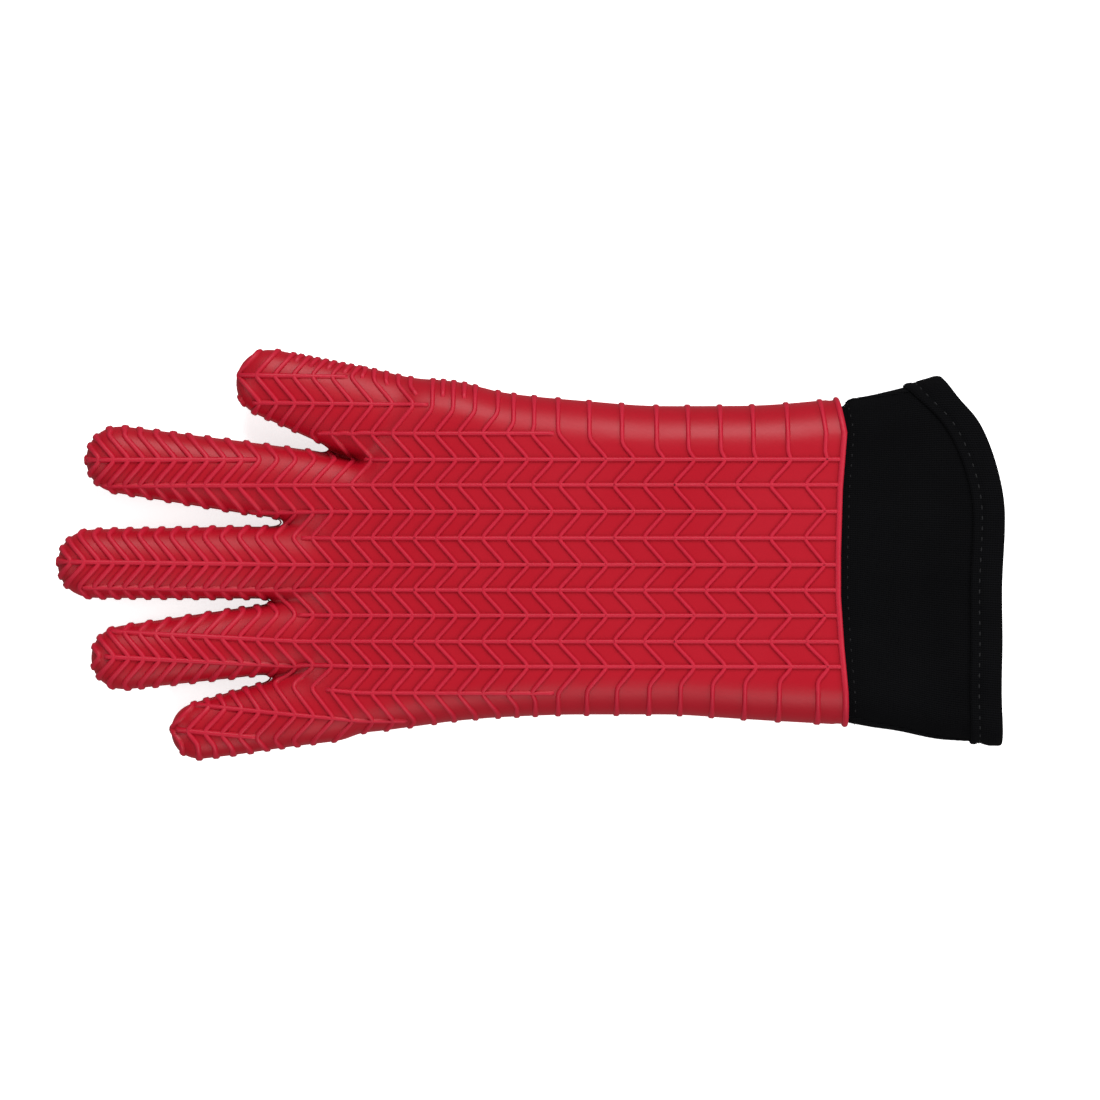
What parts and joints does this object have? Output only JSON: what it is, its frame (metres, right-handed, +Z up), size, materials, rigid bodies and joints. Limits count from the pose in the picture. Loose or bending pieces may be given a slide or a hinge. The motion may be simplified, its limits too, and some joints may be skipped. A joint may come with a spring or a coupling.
{
  "type": "heat resistant glove",
  "caption": "Long ribbed silicone cooking glove with a fabric liner and a black knit sleeve, lying flat; the fingers, thumb and wrist bend.",
  "frame": {"origin": "middle of the footprint of the glove's bounding box, on the surface it lies on", "axes": "+X from the fingertips to the open mouth of the sleeve, +Y to the thumb, +Z up off the surface"},
  "size_m": [0.3558, 0.1541, 0.036],
  "materials": {
    "silicone": "deep red moulded silicone, satin",
    "liner_knit": "dark knit cotton lining",
    "sleeve_knit": "black fine rib knit",
    "hem_knit": "black fine knit, folded and pressed",
    "thread": "grey polyester thread"
  },
  "bodies": {
    "hand": {"hand_silicone": "silicone", "hand_liner": "liner_knit"},
    "gauntlet": {"gauntlet_silicone": "silicone", "gauntlet_liner": "liner_knit", "sleeve": "sleeve_knit", "hem": "hem_knit", "hem_stitching": "thread", "cuff_stitching": "thread", "thumb_side_seam": "hem_knit", "little_side_seam": "hem_knit"},
    "index_root": {"index_root_silicone": "silicone", "index_root_liner": "liner_knit"},
    "index_tip": {"index_tip_silicone": "silicone", "index_tip_liner": "liner_knit"},
    "middle_root": {"middle_root_silicone": "silicone", "middle_root_liner": "liner_knit"},
    "middle_tip": {"middle_tip_silicone": "silicone", "middle_tip_liner": "liner_knit"},
    "ring_root": {"ring_root_silicone": "silicone", "ring_root_liner": "liner_knit"},
    "ring_tip": {"ring_tip_silicone": "silicone", "ring_tip_liner": "liner_knit"},
    "little_root": {"little_root_silicone": "silicone", "little_root_liner": "liner_knit"},
    "little_tip": {"little_tip_silicone": "silicone", "little_tip_liner": "liner_knit"},
    "thumb_root": {"thumb_root_silicone": "silicone", "thumb_root_liner": "liner_knit"},
    "thumb_tip": {"thumb_tip_silicone": "silicone", "thumb_tip_liner": "liner_knit"}
  },
  "joints": [
    {"name": "wrist_fold", "type": "hinge", "parent": "hand", "child": "gauntlet", "pos_m": [0.045, 0, 0.02742], "axis": [0, -1, 0], "range_deg": [0, 60], "stiffness_Nm_per_rad": 0.25},
    {"name": "index_root_bend", "type": "hinge", "parent": "hand", "child": "index_root", "pos_m": [-0.0939, 0.02662, 0.01713], "axis": [0.1424, 0.9898, 0], "range_deg": [0, 75], "stiffness_Nm_per_rad": 0.06},
    {"name": "index_tip_bend", "type": "hinge", "parent": "index_root", "child": "index_tip", "pos_m": [-0.13052, 0.03189, 0.0168], "axis": [0.1424, 0.9898, 0], "range_deg": [0, 75], "stiffness_Nm_per_rad": 0.06},
    {"name": "middle_root_bend", "type": "hinge", "parent": "hand", "child": "middle_root", "pos_m": [-0.094, -0.00306, 0.01762], "axis": [-0.0064, 1, 0], "range_deg": [0, 75], "stiffness_Nm_per_rad": 0.06},
    {"name": "middle_tip_bend", "type": "hinge", "parent": "middle_root", "child": "middle_tip", "pos_m": [-0.136, -0.00333, 0.01729], "axis": [-0.0064, 1, 0], "range_deg": [0, 75], "stiffness_Nm_per_rad": 0.06},
    {"name": "ring_root_bend", "type": "hinge", "parent": "hand", "child": "ring_root", "pos_m": [-0.09393, -0.03182, 0.01691], "axis": [-0.1218, 0.9926, 0], "range_deg": [0, 75], "stiffness_Nm_per_rad": 0.06},
    {"name": "ring_tip_bend", "type": "hinge", "parent": "ring_root", "child": "ring_tip", "pos_m": [-0.12966, -0.0362, 0.01638], "axis": [-0.1218, 0.9926, 0], "range_deg": [0, 75], "stiffness_Nm_per_rad": 0.06},
    {"name": "little_root_bend", "type": "hinge", "parent": "hand", "child": "little_root", "pos_m": [-0.0938, -0.0602, 0.0163], "axis": [-0.2001, 0.9798, 0], "range_deg": [0, 75], "stiffness_Nm_per_rad": 0.06},
    {"name": "little_tip_bend", "type": "hinge", "parent": "little_root", "child": "little_tip", "pos_m": [-0.11339, -0.0642, 0.01512], "axis": [-0.2001, 0.9798, 0], "range_deg": [0, 75], "stiffness_Nm_per_rad": 0.06},
    {"name": "thumb_root_bend", "type": "hinge", "parent": "hand", "child": "thumb_root", "pos_m": [-0.07766, 0.05713, 0.01945], "axis": [0.301, 0.9536, 0], "range_deg": [0, 50], "stiffness_Nm_per_rad": 0.06},
    {"name": "thumb_tip_bend", "type": "hinge", "parent": "thumb_root", "child": "thumb_tip", "pos_m": [-0.09291, 0.06194, 0.0182], "axis": [0.301, 0.9536, 0], "range_deg": [0, 65], "stiffness_Nm_per_rad": 0.06}
  ]
}
